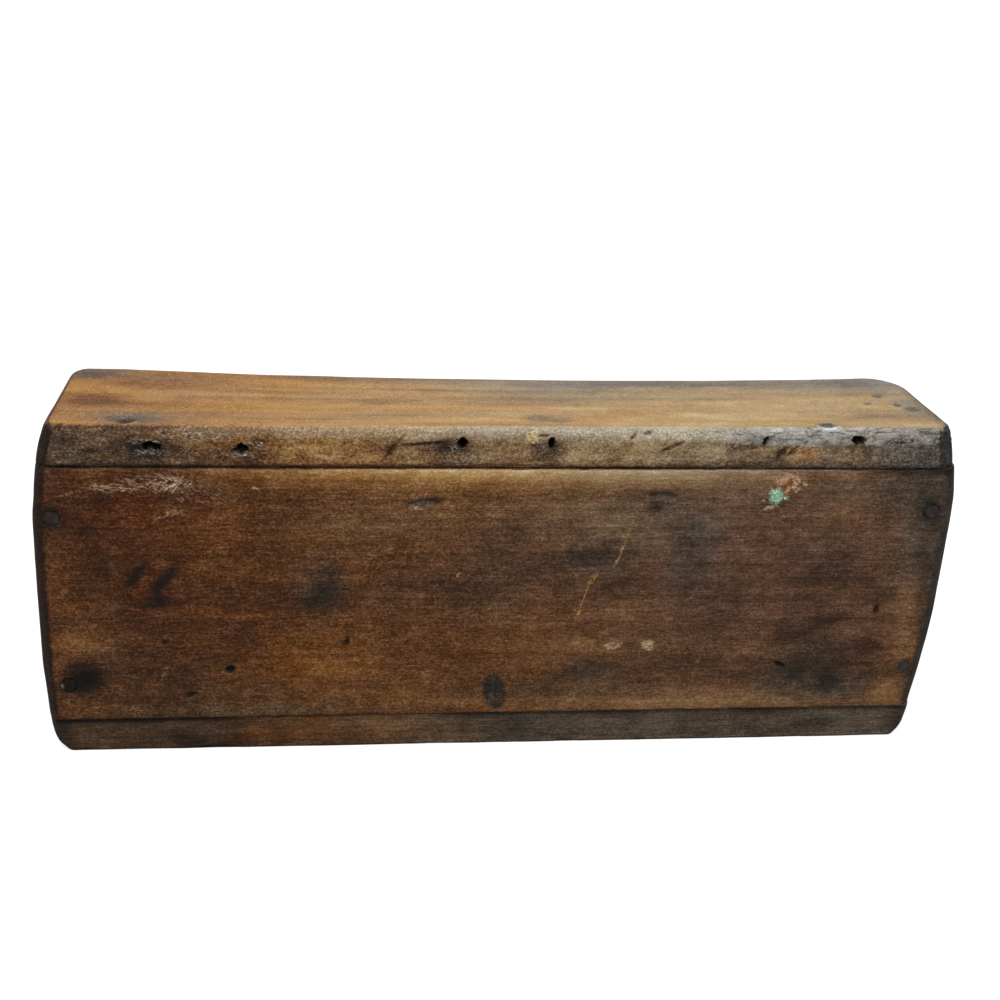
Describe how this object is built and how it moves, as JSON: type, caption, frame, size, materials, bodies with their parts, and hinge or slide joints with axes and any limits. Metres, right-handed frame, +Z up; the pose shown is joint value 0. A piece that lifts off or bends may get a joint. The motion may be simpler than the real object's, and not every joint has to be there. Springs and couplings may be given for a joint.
{
  "type": "tool caddy",
  "caption": "Long narrow antique tool caddy of nailed pine boards with worn, bowed ends, cross dividers inside and a flat lid on iron butt hinges at the back.",
  "frame": {"origin": "middle of the underside of the bottom board, on the surface that the caddy stands on", "axes": "+X along the box to the right as seen from the front, +Y from the front to the hinged back, +Z up"},
  "size_m": [0.434, 0.0896, 0.1655],
  "materials": {
    "panel_pine": "old oiled or shellacked pine, dark and worn satin",
    "lid_pine": "pine worn lighter by handling, with grey rubbed edges",
    "base_pine": "dark grimy pine",
    "inner_pine": "unfinished pine, mellowed and dusty",
    "hinge_iron": "wrought iron, dark with rust",
    "nail_iron": "iron nails, dark with rust"
  },
  "bodies": {
    "box": {"bottom_board": "base_pine", "front_panel": "panel_pine", "back_panel": "panel_pine", "left_end_board": "panel_pine", "right_end_board": "panel_pine", "left_divider": "inner_pine", "right_divider": "inner_pine", "left_hinge_box_leaf": "hinge_iron", "middle_hinge_box_leaf": "hinge_iron", "right_hinge_box_leaf": "hinge_iron", "left_hinge_pin": "hinge_iron", "middle_hinge_pin": "hinge_iron", "right_hinge_pin": "hinge_iron", "front_panel_nails": "nail_iron", "back_panel_nails": "nail_iron", "bottom_nails": "nail_iron", "divider_nails": "nail_iron", "hinge_box_nails": "nail_iron"},
    "lid": {"lid_board": "lid_pine", "left_hinge_lid_leaf": "hinge_iron", "middle_hinge_lid_leaf": "hinge_iron", "right_hinge_lid_leaf": "hinge_iron", "hinge_lid_nails": "nail_iron"}
  },
  "joints": [
    {"name": "lid_hinge", "type": "hinge", "parent": "box", "child": "lid", "pos_m": [0, 0.04495, 0.14585], "axis": [-1, 0, 0], "range_deg": [0, 180]}
  ]
}
